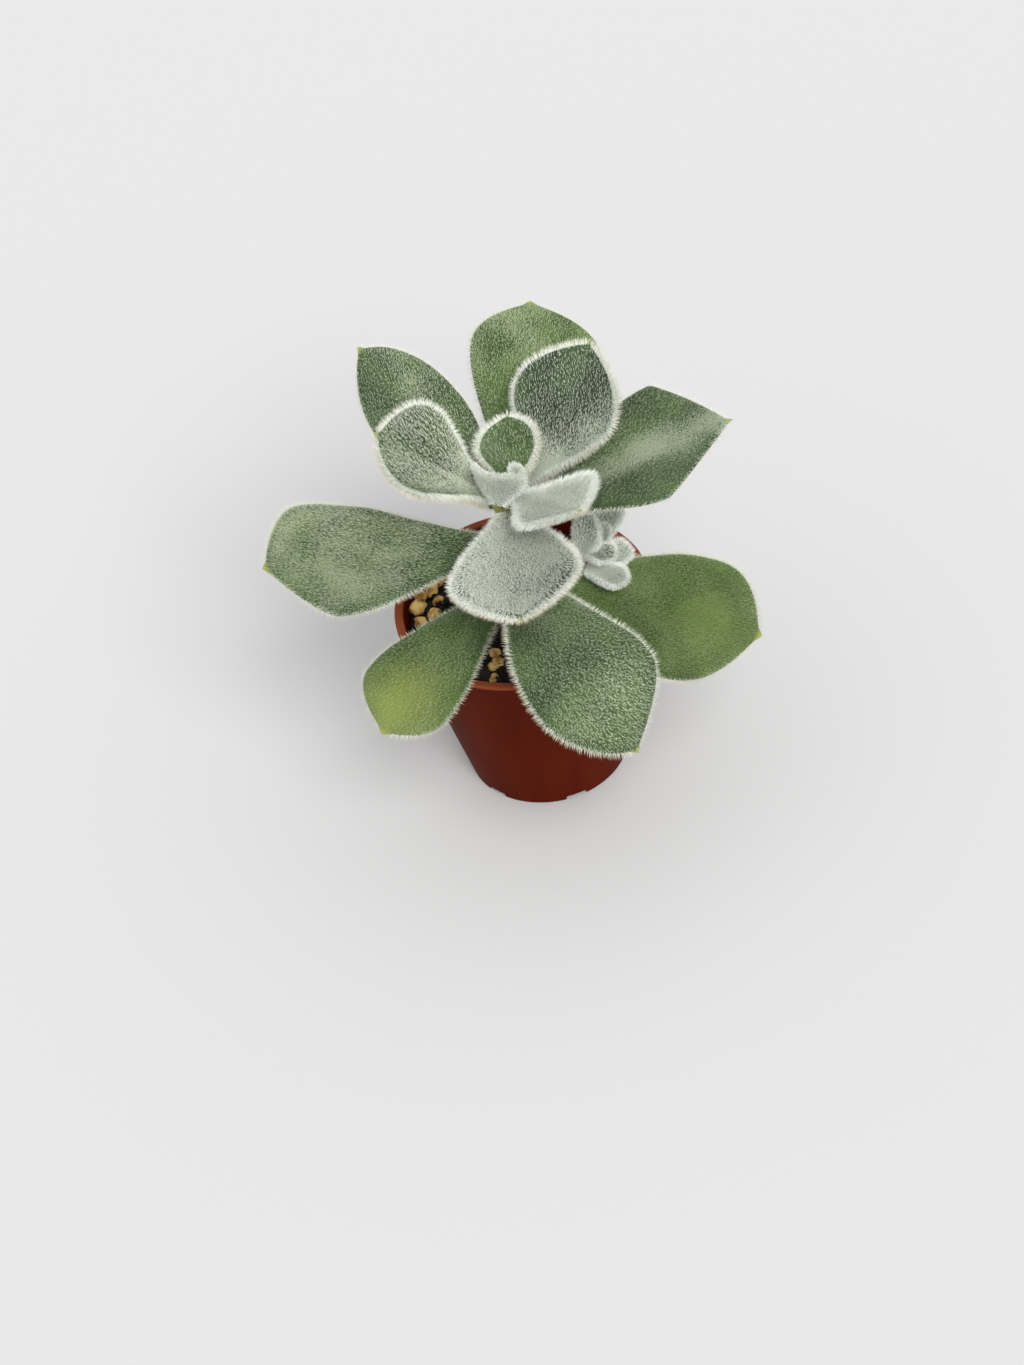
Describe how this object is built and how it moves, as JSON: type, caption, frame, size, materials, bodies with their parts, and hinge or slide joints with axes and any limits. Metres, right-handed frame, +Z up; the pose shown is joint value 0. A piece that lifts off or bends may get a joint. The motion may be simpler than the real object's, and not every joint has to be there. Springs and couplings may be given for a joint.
{
  "type": "potted frosty echeveria",
  "caption": "Velvety rosette succulent with spoon-shaped leaves round a short stem and a small offset, growing in soil in a small round tapered nursery pot.",
  "frame": {"origin": "middle of the pot's flat underside", "axes": "+Z up, along the pot's axis; -Y towards the front, where the plant was pictured from; +X to the right seen from the front"},
  "size_m": [0.0983, 0.1007, 0.0993],
  "materials": {
    "leaf": "matte, covered in short white hair",
    "heart": "matte, silvery with dense white hair",
    "stem": "matte, short brown and white hair",
    "soil": "rough, crumbly, with pale granules",
    "pot": "satin moulded plastic"
  },
  "bodies": {
    "root": {"pot": "pot", "soil": "soil", "stem": "stem", "outer_leaf_right": "leaf", "outer_leaf_front_left": "leaf", "outer_leaf_front": "leaf", "outer_leaf_back_left": "leaf", "outer_leaf_left": "leaf", "outer_leaf_back": "leaf", "outer_leaf_back_right": "leaf", "inner_leaf_front": "leaf", "inner_leaf_left": "leaf", "inner_leaf_back": "leaf", "inner_leaf_right": "leaf", "heart_leaf_back": "heart", "heart_leaves": "heart", "offset_rosette": "leaf"}
  },
  "joints": []
}
